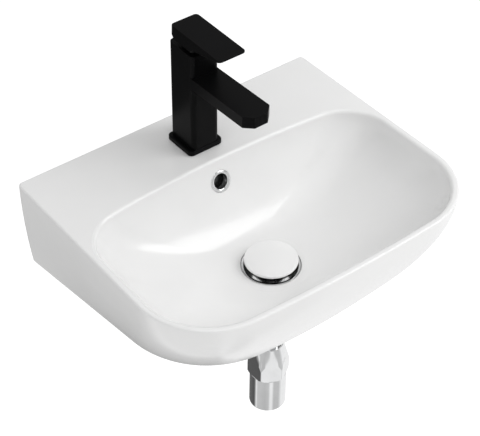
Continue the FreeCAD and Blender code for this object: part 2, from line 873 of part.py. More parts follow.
drill(tap_body, cell["outlet_bore"] / 2, roof + 2, 0, -cell["outlet_front"], seat - roof - 1)
stud_hole = cell["stud_width"] / 2 + snug
drill(tap_body, stud_hole, cell["stud_grip"] + 2, 0, stud_y, spigot_low - 1)
aerator_low = spout_line(aerator_y, cell["spout_thick"])
drill(tap_body, cell["aerator_bore"] / 2, cell["aerator_depth"] + 3, 0, aerator_y, aerator_low - 3)

foot_half = cell["foot_side"] / 2
tap_base_plate = at_tap(new_body("tap_base_plate"))
foot = sketch_in(tap_base_plate, "top", cell["foot_pad_thick"])
block(foot, -foot_half, foot_half, -foot_half, foot_half)
pad(tap_base_plate, foot, cell["foot_thick"])
soften(tap_base_plate, cell["foot_corner"], upright)
soften(tap_base_plate, cell["foot_round"], lambda edge: level(edge, foot_top))
drill(tap_base_plate, cell["spigot_width"] / 2 + slip, foot_top + 1)

pad_half = cell["foot_pad_side"] / 2
tap_base_seal = at_tap(new_body("tap_base_seal"))
foot_pad = sketch_in(tap_base_seal, "top")
block(foot_pad, -pad_half, pad_half, -pad_half, pad_half)
pad(tap_base_seal, foot_pad, cell["foot_pad_thick"])
soften(tap_base_seal, cell["tap_corner"], upright)
drill(tap_base_seal, cell["spigot_width"] / 2 + slip, cell["foot_pad_thick"] + 2, 0, 0, -1)

# ---------------------------------------------------------------- cartridge
seal_rings = []
inlet = cell["inlet_bore"] / 2
for number, (spot_x, spot_y) in enumerate(port_spots + [outlet_spot]):
    outer = rod(f"port_seal_{number}", cell["port_seal_width"] / 2, cell["port_seal_thick"], spot_x, spot_y)
    inner = rod(f"port_seal_bore_{number}", inlet, cell["port_seal_thick"] + 2, spot_x, spot_y, -1)
    seal_rings.append(cut(f"port_seal_ring_{number}", outer, inner))
cartridge_seals = keep(join("cartridge_seals", seal_rings))
place(cartridge_seals, 0, tap_y, rim + seat)


def puck(name, radius, low, high):
    return at_tap(turned(name, [(0, low), (radius, low), (radius, high), (0, high)]))


cartridge_base = puck("cartridge_base", cell["cartridge_width"] / 2, base_low, disc_low)
fixed_disc = puck("fixed_disc", cell["disc_width"] / 2, disc_low, moving_low)
for port_x, port_y in port_spots + [outlet_spot]:
    drill(cartridge_base, inlet, cell["base_thick"] + 2, port_x, port_y, base_low - 1)
    disc_x = port_x * cell["disc_inset"]
    disc_y = port_y * cell["disc_inset"]
    drill(fixed_disc, cell["disc_port"] / 2, cell["disc_thick"] + 2, disc_x, disc_y, disc_low - 1)

moving_disc = puck("moving_disc", cell["moving_disc_width"] / 2, moving_low, slider_low)
drill(moving_disc, cell["mixing_pocket"] / 2, cell["moving_disc_thick"] / 2 + 1, 0, -1, moving_low - 1)
disc_slider = puck("disc_slider", cell["moving_disc_width"] / 2, slider_low, slider_high)
tip_half = cell["stem_tip"] / 2
slider_slot = sketch_in(disc_slider, "top", slider_low)
slot_half = tip_half + cell["slider_play"]
block(slider_slot, -tip_half - slip, tip_half + slip, -slot_half, slot_half)
pocket(disc_slider, slider_slot, cell["slider_thick"])

neck_radius = cell["carrier_width"] / 2
housing_out = cell["cartridge_width"] / 2
housing_in = housing_out - cell["housing_wall"]
neck_out = neck_radius + cell["neck_wall"]
neck_high = roof_high + cell["housing_neck"]
cartridge_housing = at_tap(turned("cartridge_housing", [
    (housing_in, disc_low),
    (housing_out, disc_low),
    (housing_out, roof_high),
    (neck_out, roof_high),
    (neck_out, neck_high),
    (neck_radius + snug, neck_high),
    (neck_radius + snug, flange_high + free),
    (housing_in, flange_high + free),
]))
carrier_radius = housing_in - slip
cartridge_carrier = at_tap(turned("cartridge_carrier", [
    (0, flange_low),
    (carrier_radius, flange_low),
    (carrier_radius, flange_high),
    (neck_radius, flange_high),
    (neck_radius, neck_high + 0.5),
    (0, neck_high + 0.5),
]))
stem_half = cell["stem_width"] / 2
stem_slot = sketch_in(cartridge_carrier, "top", flange_low - 1)
block(stem_slot, -stem_half - slip / 2, stem_half + slip / 2, -cell["slot_front"], cell["slot_rear"])
pocket(cartridge_carrier, stem_slot, neck_high - flange_low + 3)
pin_radius = cell["pivot_pin"] / 2
drill(cartridge_carrier, pin_radius, cell["carrier_width"] + 2, -neck_radius - 1, 0, pivot, (0, 1, 0))

pin_start = -cell["pivot_length"] / 2
stem_pin = rod("stem_pin", pin_radius, cell["pivot_length"], pin_start, tap_y, rim + pivot, (0, 1, 0))
keep(stem_pin)

stem_low = slider_low + 0.8
stem_knee = stem_low + cell["stem_knee"]
stem_deep = cell["stem_thick"] / 2
cartridge_stem = at_tap(new_body("cartridge_stem"))
shank = sketch_in(cartridge_stem, "top", stem_knee)
block(shank, -stem_half, stem_half, -stem_deep, stem_deep)
pad(cartridge_stem, shank, cell["stem_height"] - stem_knee)
tip = sketch_in(cartridge_stem, "top", stem_low)
block(tip, -tip_half, tip_half, -tip_half, tip_half)
pad(cartridge_stem, tip, cell["stem_knee"])
drill(cartridge_stem, pin_radius + snug, cell["stem_width"] + 2, -stem_half - 1, 0, pivot, (0, 1, 0))

nut_radius = cell["thread_width"] / 2 - snug
nut_high = roof_high + cell["ring_nut_thick"]
cartridge_nut = at_tap(turned("cartridge_nut", ring_points(nut_radius, neck_out + slip, roof_high, nut_high)))
lathe(cartridge_nut, ring_points(nut_radius + 1, nut_radius - 1.5, nut_high - 2, nut_high + 1))

shroud_radius = cell["shroud_width"] / 2
shroud_in = cell["shroud_bore"] / 2
lip_out = cell["thread_width"] / 2 - snug
shroud_low = cell["tap_height"]
cartridge_shroud = at_tap(turned("cartridge_shroud", [
    (shroud_in, shroud_low),
    (lip_out - 0.9, shroud_low),
    (lip_out - 0.9, nut_high + free),
    (lip_out, nut_high + free),
    (lip_out, shroud_low),
    (shroud_radius, shroud_low),
    (shroud_radius - 0.5, shroud_low + cell["shroud_thick"]),
    (shroud_in, shroud_low + cell["shroud_thick"]),
]))

# ---------------------------------------------------------------- lever
lever_low = cell["tap_height"] + cell["lever_gap"]
lever_high = lever_low + cell["lever_thick"]
rear = cell["lever_rear"]
reach = -cell["lever_reach"]
lever_handle = at_tap(new_body("lever_handle"))
lever_side = sketch_in(lever_handle, "side")
polygon(lever_side, [
    (rear, lever_low + cell["lever_chamfer_rise"]),
    (rear, lever_high),
    (reach, lever_high),
    (reach, lever_high - cell["paddle_tip"]),
    (-half_length, lever_low + cell["paddle_start"]),
    (-half_length, lever_low),
    (rear - cell["lever_chamfer"], lever_low),
])
pad(lever_handle, lever_side, cell["lever_width"], True)
soften(lever_handle, cell["lever_corner"], lambda edge: upright(edge))
screw_z = cell["screw_height"]
socket_side = stem_half + slip / 2
socket_deep = stem_deep + slip / 2
socket = sketch_in(lever_handle, "top", lever_low - 1)
block(socket, -socket_side, socket_side, -socket_deep, socket_deep)
pocket(lever_handle, socket, cell["stem_height"] - lever_low + 1 + free)
button_radius = cell["button_width"] / 2
screw_radius = cell["screw_width"] / 2
drill(lever_handle, screw_radius + snug, rear, 0, rear, screw_z, (1, 0, 0))
drill(lever_handle, button_radius + snug, cell["button_thick"] + 1, 0, rear + 1, screw_z, (1, 0, 0))

screw_length = cell["screw_length"]
screw_y = tap_y + stem_deep + screw_length
lever_screw = rod("lever_screw", screw_radius, screw_length, 0, screw_y, rim + screw_z, (1, 0, 0))
keep(lever_screw)
button_thick = cell["button_thick"]
lever_plug = rod("lever_plug", button_radius, button_thick, 0, tap_y + rear, rim + screw_z, (1, 0, 0))
keep(lever_plug)

# ---------------------------------------------------------------- aerator
aerator_out = cell["aerator_bore"] / 2 - snug
aerator_in = aerator_out - cell["aerator_skin"]
insert_radius = aerator_in - snug


def at_aerator(thing):
    return place(thing, 0, tap_y + aerator_y, rim + aerator_low)


aerator_high = cell["aerator_height"]
housing_points = ring_points(aerator_out, aerator_in, 0, aerator_high)
aerator_housing = at_aerator(turned("aerator_housing", housing_points))
aerator_insert = at_aerator(turned("aerator_insert", [
    (0, cell["aerator_inset"]),
    (insert_radius, cell["aerator_inset"]),
    (insert_radius, aerator_high),
    (0, aerator_high),
]))
for turn_step in range(8):
    angle = math.radians(45 * turn_step)
    hole_x = cell["aerator_grid"] * math.cos(angle)
    hole_back = cell["aerator_grid"] * math.sin(angle)
    drill(aerator_insert, cell["aerator_hole"] / 2, aerator_high, hole_x, hole_back)
drill(aerator_insert, cell["aerator_hole"] / 2, aerator_high)
seal_points = ring_points(aerator_out, cell["aerator_grid"], aerator_high, cell["aerator_depth"])
aerator_seal = at_aerator(turned("aerator_seal", seal_points))

# ---------------------------------------------------------------- fixing of the tap
deck_low = -deck
stud_high = cell["stud_grip"] - cell["spigot_depth"]
fixing_stud = rod("fixing_stud", cell["stud_width"] / 2, cell["stud_length"], 0, tap_y + stud_y,
                  rim + stud_high - cell["stud_length"])
keep(fixing_stud)


def horseshoe(name, high, thick):
    # a round plate under the deck, open at the back round the supply hoses
    body = at_tap(turned(name, [
        (0, high - thick),
        (cell["horseshoe_width"] / 2, high - thick),
        (cell["horseshoe_width"] / 2, high),
        (0, high),
    ]))
    slot = sketch_in(body, "top", high - thick - 1)
    slot_side = cell["horseshoe_slot"] / 2
    block(slot, -slot_side, slot_side, -cell["horseshoe_start"], cell["horseshoe_width"])
    pocket(body, slot, thick + 2)
    drill(body, cell["stud_width"] / 2 + slip, thick + 2, 0, stud_y, high - thick - 1)
    return body


def hexagon(sketch, flats):
    # flats is the width across the flats, which look along x
    corner = flats / math.sqrt(3)
    polygon(sketch, [
        (flats / 2, -corner / 2),
        (flats / 2, corner / 2),
        (0, corner),
        (-flats / 2, corner / 2),
        (-flats / 2, -corner / 2),
        (0, -corner),
    ])


def hex_nut(name, flats, low, high):
    body = new_body(name)
    outline = sketch_in(body, "top", low)
    hexagon(outline, flats)
    pad(body, outline, high - low)
    return body


horseshoe_seal = horseshoe("horseshoe_seal", deck_low, cell["horseshoe_seal"])
washer_high = deck_low - cell["horseshoe_seal"]
horseshoe_washer = horseshoe("horseshoe_washer", washer_high, cell["horseshoe_thick"])
nut_top = washer_high - cell["horseshoe_thick"]
nut_low = nut_top - cell["fixing_nut_length"]
fixing_nut = hex_nut("fixing_nut", cell["fixing_nut_width"], nut_low, nut_top)
place(fixing_nut, 0, tap_y + stud_y, rim)
drill(fixing_nut, cell["stud_width"] / 2 + snug, cell["fixing_nut_length"] + 2, 0, 0, nut_low - 1)


# ---------------------------------------------------------------- waste
def recess_cone(radius):
    # height of the sloping seat in the ceramic
    return recess_slope * (radius - cell["recess_width"] / 2) - cell["recess_lip"]


flange_radius = cell["flange_width"] / 2
barrel_radius = cell["barrel_width"] / 2
throat = cell["barrel_bore"] / 2
barrel_low = -boss_height - cell["barrel_drop"]
seal_thick = cell["flange_seal_thick"]
waste_body = at_waste(turned("waste_body", [
    (throat, barrel_low),
    (barrel_radius, barrel_low),
    (barrel_radius, recess_cone(barrel_radius) + seal_thick),
    (flange_radius, recess_cone(flange_radius) + seal_thick),
    (flange_radius, -cell["flange_edge"]),
    (flange_radius - cell["flange_edge"], 0),
    (cell["throat_width"] / 2, 0),
    (throat, -cell["throat_depth"]),
]))
slot_half = cell["slot_width"] / 2
for side in ("side", "front"):
    opening = sketch_in(waste_body, side)
    block(opening, -slot_half, slot_half, -cell["slot_top"] - cell["slot_height"], -cell["slot_top"])
    pocket(waste_body, opening, cell["barrel_width"] + 2, True)

seal_in = cell["flange_seal_bore"] / 2
waste_flange_seal = at_waste(turned("waste_flange_seal", [
    (seal_in, recess_cone(seal_in)),
    (flange_radius - 1, recess_cone(flange_radius - 1)),
    (flange_radius - 1, recess_cone(flange_radius - 1) + seal_thick),
    (seal_in, recess_cone(seal_in) + seal_thick),
]))
clamp_in = barrel_radius + slip
lower_high = -boss_height
lower_low = lower_high - cell["lower_seal_thick"]
waste_lower_seal = at_waste(turned(
    "waste_lower_seal", ring_points(cell["lower_seal_width"] / 2, clamp_in, lower_low, lower_high)))
plate_low = lower_low - cell["washer_thick"]
waste_washer = at_waste(turned(
    "waste_washer", ring_points(cell["washer_width"] / 2, clamp_in, plate_low, lower_low)))
back_nut_low = plate_low - cell["back_nut_thick"]
waste_back_nut = at_waste(hex_nut("waste_back_nut", cell["back_nut_flats"], back_nut_low, plate_low))
drill(waste_back_nut, barrel_radius + snug, cell["back_nut_thick"] + 2, 0, 0, back_nut_low - 1)

# ---------------------------------------------------------------- plug and its guide
latch_high = -cell["latch_top"]
latch_low = latch_high - cell["latch_length"]
hub_radius = cell["latch_hub_width"] / 2
plug_stem_radius = cell["plug_stem_width"] / 2
latch_housing = at_waste(turned("latch_housing", [
    (plug_stem_radius + snug, latch_low),
    (hub_radius, latch_low),
    (hub_radius, latch_high - cell["latch_web"]),
    (throat - snug, latch_high - cell["latch_web"]),
    (throat - snug, latch_high),
    (plug_stem_radius + snug, latch_high),
]))
for window in range(4):
    angle = math.radians(90 * window + 45)
    window_x = cell["latch_ring"] / 2 * math.cos(angle)
    window_y = cell["latch_ring"] / 2 * math.sin(angle)
    window_low = latch_high - cell["latch_web"] - 1
    drill(latch_housing, cell["latch_window"] / 2, cell["latch_web"] + 2, window_x, window_y, window_low)

cap_low = cell["cap_lift"]
cap_radius = cell["cap_width"] / 2
cap_high = cap_low + cell["cap_edge"] + cell["cap_crown"]
crown_radius = (cap_radius * cap_radius + cell["cap_crown"] * cell["cap_crown"]) / (2 * cell["cap_crown"])
cap_disc = rod("cap_disc", cap_radius, cap_high - cap_low, 0, 0, cap_low)
cap_ball = place(simple("Sphere", "cap_ball", Radius=crown_radius), 0, 0, cap_high - crown_radius)
cap_blank = doc.addObject("Part::Common", "cap_blank")
cap_blank.Base = cap_disc
cap_blank.Tool = cap_ball
plug_cap = rounded("plug_cap", cap_blank, [
    (lambda edge: level(edge, cap_low + cell["cap_edge"]), sizes["cap_round"]),
    (lambda edge: level(edge, cap_low), sizes["cap_round"] / 3),
])
keep(at_waste(plug_cap))

carrier_low = cap_low - cell["carrier_plate_thick"]
plate_radius = cell["carrier_plate_width"] / 2
hub_out = cell["carrier_hub_width"] / 2
hub_low = carrier_low - cell["carrier_hub_length"]
hub_top = cap_low - 1.5
plug_carrier = at_waste(turned("plug_carrier", [
    (0, hub_top),
    (plug_stem_radius + snug, hub_top),
    (plug_stem_radius + snug, hub_low),
    (hub_out, hub_low),
    (hub_out, carrier_low),
    (plate_radius, carrier_low),
    (plate_radius, cap_low),
    (0, cap_low),
]))
lip_low = cap_low - cell["plug_seal_thick"]
plug_seal = at_waste(turned("plug_seal", [
    (plate_radius, lip_low),
    (cell["plug_seal_foot"] / 2, lip_low),
    (cell["plug_seal_width"] / 2, cap_low - 0.5),
    (cell["plug_seal_width"] / 2, cap_low),
    (plate_radius, cap_low),
]))
stem_bottom = -cell["plug_stem_low"]
plug_stem = at_waste(turned("plug_stem", [
    (0, stem_bottom),
    (plug_stem_radius, stem_bottom),
    (plug_stem_radius, hub_top),
    (0, hub_top),
]))
clip_high = latch_low - free
clip_low = clip_high - cell["clip_thick"]
clip_points = ring_points(cell["clip_width"] / 2, plug_stem_radius, clip_low, clip_high)
stem_clip = at_waste(turned("stem_clip", clip_points))

wire = cell["spring_wire"] / 2
spring_radius = cell["spring_width"] / 2 - wire
spring_low = latch_high + wire
spring_span = hub_low - latch_high - cell["spring_wire"]
latch_spring = at_waste(new_body("latch_spring"))
wire_section = sketch_in(latch_spring, "front")
circle(wire_section, spring_radius, spring_low, wire)
coil = latch_spring.newObject("PartDesign::AdditiveHelix", "spring_coil")
coil.Profile = wire_section
coil.ReferenceAxis = (wire_section, ["V_Axis"])
coil.Mode = "height-turns-angle"
bind(coil, "Height", spring_span)
bind(coil, "Turns", cell["spring_turns"])

# ---------------------------------------------------------------- tail under the waste
collar_high = barrel_low - cell["tail_washer_thick"]
collar_low = collar_high - cell["tail_collar_thick"]
collar_radius = cell["tail_collar"] / 2
pipe_radius = cell["tail_width"] / 2
pipe_in = pipe_radius - cell["tail_wall"]
cone_high = barrel_low - cell["coupling_drop"]
tail_low = cone_high - cell["tail_insert"]
tail_pipe = at_waste(turned("tail_pipe", [
    (pipe_in, tail_low),
    (pipe_radius, tail_low),
    (pipe_radius, collar_low),
    (collar_radius, collar_low),
    (collar_radius, collar_high),
    (pipe_in, collar_high),
]))
tail_washer = at_waste(turned("tail_washer", ring_points(collar_radius, throat, collar_high, barrel_low)))
union_high = barrel_low + cell["union_grip"]
union_low = collar_low - cell["union_lip"]
tail_union_nut = at_waste(hex_nut("tail_union_nut", cell["union_flats"], union_low, union_high))
drill(tail_union_nut, barrel_radius + snug, union_high - collar_low + 1, 0, 0, collar_low)
drill(tail_union_nut, pipe_radius + slip, cell["union_lip"] + 2, 0, 0, union_low - 1)

nut_foot = cone_high - cell["coupling_height"]
corner_radius = cell["coupling_corners"] / 2
cone_top = cell["coupling_top_width"] / 2
far = corner_radius + 4
outlet_nut = at_waste(hex_nut("outlet_nut", cell["coupling_corners"] * math.sqrt(3) / 2, nut_foot, cone_high))
screwed = FreeCAD.Rotation(FreeCAD.Vector(0, 0, -1), 90)
outlet_nut.Placement = FreeCAD.Placement(outlet_nut.Placement.Base, screwed)
bind(outlet_nut, "Placement.Rotation.Angle", cell["coupling_turn"])
cone_slope = (corner_radius - cone_top) / cell["coupling_cone"]
lathe(outlet_nut, [
    (cone_top, cone_high),
    (far, cone_high - (far - cone_top) / cone_slope),
    (far, cone_high + 1),
    (cone_top, cone_high + 1),
])
lathe(outlet_nut, [
    (cell["coupling_foot_width"] / 2, nut_foot),
    (cell["coupling_foot_width"] / 2, nut_foot - 1),
    (far, nut_foot - 1),
    (far, nut_foot + cell["coupling_foot_rise"] * 2),
])
nut_roof = cone_high - cell["coupling_roof"]
drill(outlet_nut, pipe_radius + slip, cell["coupling_height"] + 2, 0, 0, nut_foot - 1)
drill(outlet_nut, cell["coupling_thread"] / 2, nut_roof - nut_foot + 1, 0, 0, nut_foot - 1)

neck = cell["coupling_thread"] / 2 - snug
cone_washer_low = nut_roof - cell["cone_washer_thick"]
outlet_washer = at_waste(turned(
    "outlet_washer", ring_points(neck, pipe_radius + snug, cone_washer_low, nut_roof)))
socket_radius = cell["socket_width"] / 2
socket_in = cell["socket_bore"] / 2
socket_low = nut_foot - cell["socket_length"]
stop = nut_foot - cell["socket_stop"]
edge_round = cell["socket_round"]
outlet_socket = at_waste(turned("outlet_socket", [
    (socket_in, socket_low),
    (socket_radius - edge_round, socket_low),
    (socket_radius, socket_low + edge_round),
    (socket_radius, nut_foot),
    (neck, nut_foot),
    (neck, cone_washer_low),
    (pipe_radius + slip, cone_washer_low),
    (pipe_radius + slip, stop),
    (socket_in, stop),
]))

# ---------------------------------------------------------------- finish
doc.recompute()
for thing in doc.Objects:
    if "Invalid" in thing.State or "Error" in thing.State:
        raise RuntimeError(f"{thing.Name} did not recompute")
for node in nodes:
    if node.Shape.isNull() or not node.Shape.isValid():
        raise RuntimeError(f"{node.Label} has no valid shape")
    node.Shape.exportStep(f"parts/{node.Label}.step")
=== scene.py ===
import json
import math

import bpy
from mathutils import Matrix, Vector


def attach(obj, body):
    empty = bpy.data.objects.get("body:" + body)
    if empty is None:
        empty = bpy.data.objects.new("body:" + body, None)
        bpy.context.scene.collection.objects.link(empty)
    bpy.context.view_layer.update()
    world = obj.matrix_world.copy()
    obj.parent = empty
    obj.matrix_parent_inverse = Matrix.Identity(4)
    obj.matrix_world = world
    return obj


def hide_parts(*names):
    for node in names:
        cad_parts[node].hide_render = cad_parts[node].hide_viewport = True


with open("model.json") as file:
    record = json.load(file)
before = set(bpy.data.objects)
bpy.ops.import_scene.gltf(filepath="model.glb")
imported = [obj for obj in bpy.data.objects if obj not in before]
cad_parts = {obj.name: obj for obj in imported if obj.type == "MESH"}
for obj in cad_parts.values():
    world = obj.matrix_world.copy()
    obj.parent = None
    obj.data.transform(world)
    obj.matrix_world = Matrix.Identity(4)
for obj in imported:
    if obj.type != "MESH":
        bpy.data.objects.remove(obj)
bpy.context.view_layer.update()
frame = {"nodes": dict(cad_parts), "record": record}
scene = bpy.context.scene
print("frame loaded:", len(frame["nodes"]), "nodes")


# small tools, all in millimetres unless the name says metres
def metres(values):
    return [value / 1000.0 for value in values]


def deselectAll():
    if bpy.context.object and bpy.context.object.mode != "OBJECT":
        bpy.ops.object.mode_set(mode="OBJECT")
    bpy.ops.object.select_all(action="DESELECT")


def takeUp(piece):
    deselectAll()
    piece.select_set(True)
    bpy.context.view_layer.objects.active = piece


def startEdit(piece, part):
    takeUp(piece)
    bpy.ops.object.mode_set(mode="EDIT")
    bpy.ops.mesh.select_mode(type=part)
    bpy.ops.mesh.select_all(action="DESELECT")


def endEdit():
    bpy.ops.object.mode_set(mode="OBJECT")


def pickFaces(piece, test):
    # call in edit mode: selects the faces whose centre and normal pass the test
    bpy.ops.object.mode_set(mode="OBJECT")
    for face in piece.data.polygons:
        face.select = test(face.center * 1000.0, face.normal)
    bpy.ops.object.mode_set(mode="EDIT")


def pickEdges(piece, test):
    # selects the edges whose two ends pass the test
    bpy.ops.object.mode_set(mode="OBJECT")
    points = [vertex.co * 1000.0 for vertex in piece.data.vertices]
    for edge in piece.data.edges:
        edge.select = test(points[edge.vertices[0]], points[edge.vertices[1]])
    bpy.ops.object.mode_set(mode="EDIT")


def isUpright(a, b):
    return abs(a.x - b.x) < 0.01 and abs(a.y - b.y) < 0.01 and abs(a.z - b.z) > 1.0


def settle(piece, name):
    # puts the place into the mesh and leaves the object at the origin
    takeUp(piece)
    bpy.ops.object.transform_apply(location=True, rotation=True, scale=True)
    piece.name = name
    piece.data.name = name
    return piece


def addBlock(name, low, high):
    deselectAll()
    centre = [(a + b) / 2 for a, b in zip(low, high)]
    span = [b - a for a, b in zip(low, high)]
    bpy.ops.mesh.primitive_cube_add(size=1.0, location=metres(centre), scale=metres(span))
    return settle(bpy.context.object, name)


def addRod(name, radius, depth, centre, turn=(0, 0, 0), sides=64):
    deselectAll()
    bpy.ops.mesh.primitive_cylinder_add(
        vertices=sides, radius=radius / 1000, depth=depth / 1000, location=metres(centre), rotation=turn)
    return settle(bpy.context.object, name)


onAxis = 0.002


def addTurned(name, profile, centre, sides=96, tilt=0.0):
    # profile: radius and height pairs, turned about the upright axis through centre
    # it closes on itself or on the axis, where a tiny radius stands in for none
    deselectAll()
    start = max(profile[0][0], onAxis) / 1000
    bpy.ops.mesh.primitive_circle_add(vertices=sides, radius=start, fill_type="NOTHING")
    piece = bpy.context.object
    bpy.ops.object.mode_set(mode="EDIT")
    bpy.ops.mesh.select_mode(type="EDGE")
    bpy.ops.mesh.select_all(action="SELECT")
    bpy.ops.transform.translate(value=(0, 0, profile[0][1] / 1000))
    for (radius, height), (newRadius, newHeight) in zip(profile, profile[1:]):
        climb = (newHeight - height) / 1000
        bpy.ops.mesh.extrude_region_move(TRANSFORM_OT_translate={"value": (0, 0, climb)})
        ratio = max(newRadius, onAxis) / max(radius, onAxis)
        bpy.ops.transform.resize(value=(ratio, ratio, 1), center_override=(0, 0, 0))
    bpy.ops.mesh.select_all(action="SELECT")
    bpy.ops.mesh.remove_doubles(threshold=0.00001)
    bpy.ops.mesh.normals_make_consistent(inside=False)
    endEdit()
    piece.rotation_euler = (math.radians(tilt), 0, 0)
    piece.location = metres(centre)
    return settle(piece, name)


def applyLast(piece):
    takeUp(piece)
    bpy.ops.object.modifier_apply(modifier=piece.modifiers[-1].name)


def carve(piece, cutter, how="DIFFERENCE"):
    tool = piece.modifiers.new("carve", "BOOLEAN")
    tool.operation = how
    tool.solver = "EXACT"
    tool.object = cutter
    applyLast(piece)
    bpy.data.objects.remove(cutter)


def easeEdges(piece, width, steps=3, angle=35):
    tool = piece.modifiers.new("ease", "BEVEL")
    tool.width = width / 1000
    tool.segments = steps
    tool.limit_method = "ANGLE"
    tool.angle_limit = math.radians(angle)
    tool.miter_outer = "MITER_ARC"
    applyLast(piece)


def smooth(piece, angle=35):
    # smooth shading that leaves the large flat faces flat
    takeUp(piece)
    bpy.ops.object.shade_smooth_by_angle(angle=math.radians(angle))
    tool = piece.modifiers.new("weigh", "WEIGHTED_NORMAL")
    tool.keep_sharp = True
    applyLast(piece)


def mergedCopy(node, name):
    # a copy of a CAD node with its loose triangles joined and its custom normals cleared
    copy = frame["nodes"][node].copy()
    copy.data = copy.data.copy()
    for key in list(copy.keys()):
        del copy[key]
    copy.parent = None
    scene.collection.objects.link(copy)
    copy.name = name
    copy.data.name = name
    startEdit(copy, "VERT")
    bpy.ops.mesh.select_all(action="SELECT")
    bpy.ops.mesh.remove_doubles(threshold=0.000005)
    bpy.ops.mesh.customdata_custom_splitnormals_clear()
    endEdit()
    return copy


def finishPiece(piece, material, slot, body, *nodes):
    piece.data.materials.clear()
    piece.data.materials.append(materials[material])
    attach(piece, body)
    if nodes:
        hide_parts(*nodes)
    return piece


# finishes
glaze = {"colour": (0.86, 0.86, 0.857), "tones": (0.985, 1.01), "gloss": 0.2, "softPatch": 0.04,
         "patchScale": 14.0, "waviness": 0.035, "waveScale": 55.0, "waveDepth": 0.002,
         "ior": 1.52, "coat": 0.12, "coatGloss": 0.1,
         # duct: the inside of the overflow duct darkened to near black, a painted shade
         "duct": ((-14.6, -104.5, -40.0), (14.6, -90.0, 62.0)), "paintedDuctShade": (0.03, 0.03, 0.03),
         "rear": ((-300.0, -0.2, -80.0), (300.0, 1.0, 67.0)), "rearClay": (0.62, 0.6, 0.56)}
satinBlack = {"colour": (0.003, 0.003, 0.0032), "tones": (0.9, 1.15), "rough": 0.34, "roughChange": 0.08,
              "patchScale": 35.0, "grain": 2600.0, "bump": 0.05, "depth": 0.0002, "ior": 1.14}
metals = {
    "chrome": {"colour": (0.83, 0.835, 0.84), "rough": 0.07, "patchScale": 40.0, "grain": 900.0},
    "steel": {"colour": (0.52, 0.52, 0.53), "rough": 0.3, "patchScale": 180.0, "grain": 1500.0},
    "brass": {"colour": (0.62, 0.44, 0.17), "rough": 0.3, "patchScale": 180.0, "grain": 1500.0},
}
metalTexture = {"roughChange": 0.06, "tones": (0.94, 1.03), "bump": 0.02, "depth": 0.0002}
# painted shade: the chrome inside the waste's throat, under the cap, is darkened to near black
throat = {"box": ((-27.0, -237.0, -42.0), (27.0, -183.0, -24.4)), "tone": (0.03, 0.03, 0.03)}
mouldings = {
    "blackRubber": {"colour": (0.018, 0.018, 0.018), "rough": 0.62, "grain": 1800.0, "bump": 0.15},
    "whiteMoulding": {"colour": (0.72, 0.72, 0.70), "rough": 0.42, "grain": 1200.0, "bump": 0.06},
    "blackMoulding": {"colour": (0.016, 0.016, 0.016), "rough": 0.5, "grain": 1400.0, "bump": 0.1},
    "discWhite": {"colour": (0.70, 0.69, 0.66), "rough": 0.2, "grain": 1200.0, "bump": 0.02},
}
mouldingTexture = {"patchScale": 60.0, "roughChange": 0.1, "tones": (0.92, 1.06), "depth": 0.0003}
materials = {}


def makeFineTexture():
    # two layers of noise: broad patches for gloss, fine grain for the surface itself
    group = bpy.data.node_groups.new("fineTexture", "ShaderNodeTree")
    for label, start in (
            ("Patch Scale", 20.0), ("Grain Scale", 800.0), ("Gloss", 0.2), ("Gloss Change", 0.05)):
        socket = group.interface.new_socket(label, in_out="INPUT", socket_type="NodeSocketFloat")
        socket.default_value = start
    group.interface.new_socket("Roughness", in_out="OUTPUT", socket_type="NodeSocketFloat")
    group.interface.new_socket("Patches", in_out="OUTPUT", socket_type="NodeSocketFloat")
    group.interface.new_socket("Grain", in_out="OUTPUT", socket_type="NodeSocketFloat")
    nodes, links = group.nodes, group.links
    entry = nodes.new("NodeGroupInput")
    leave = nodes.new("NodeGroupOutput")
    place = nodes.new("ShaderNodeTexCoord")
    patches = nodes.new("ShaderNodeTexNoise")
    patches.inputs["Detail"].default_value = 3.0
    grain = nodes.new("ShaderNodeTexNoise")
    grain.inputs["Detail"].default_value = 2.0
    links.new(place.outputs["Object"], patches.inputs["Vector"])
    links.new(place.outputs["Object"], grain.inputs["Vector"])
    links.new(entry.outputs["Patch Scale"], patches.inputs["Scale"])
    links.new(entry.outputs["Grain Scale"], grain.inputs["Scale"])
    centred = nodes.new("ShaderNodeMath")
    centred.operation = "SUBTRACT"
    centred.inputs[1].default_value = 0.5
    links.new(patches.outputs["Fac"], centred.inputs[0])
    change = nodes.new("ShaderNodeMath")
    change.operation = "MULTIPLY_ADD"
    links.new(centred.outputs[0], change.inputs[0])
    links.new(entry.outputs["Gloss Change"], change.inputs[1])
    links.new(entry.outputs["Gloss"], change.inputs[2])
    links.new(change.outputs[0], leave.inputs["Roughness"])
    links.new(patches.outputs["Fac"], leave.inputs["Patches"])
    links.new(grain.outputs["Fac"], leave.inputs["Grain"])
    return group


fineTexture = makeFineTexture()


def newFinish(name, colour, metallic=0.0):
    material = bpy.data.materials.new(name)
    material.use_nodes = True
    shader = material.node_tree.nodes["Principled BSDF"]
    shader.inputs["Base Color"].default_value = (*colour, 1.0)
    shader.inputs["Metallic"].default_value = metallic
    material.diffuse_color = (*colour, 1.0)
    materials[name] = material
    return material, shader


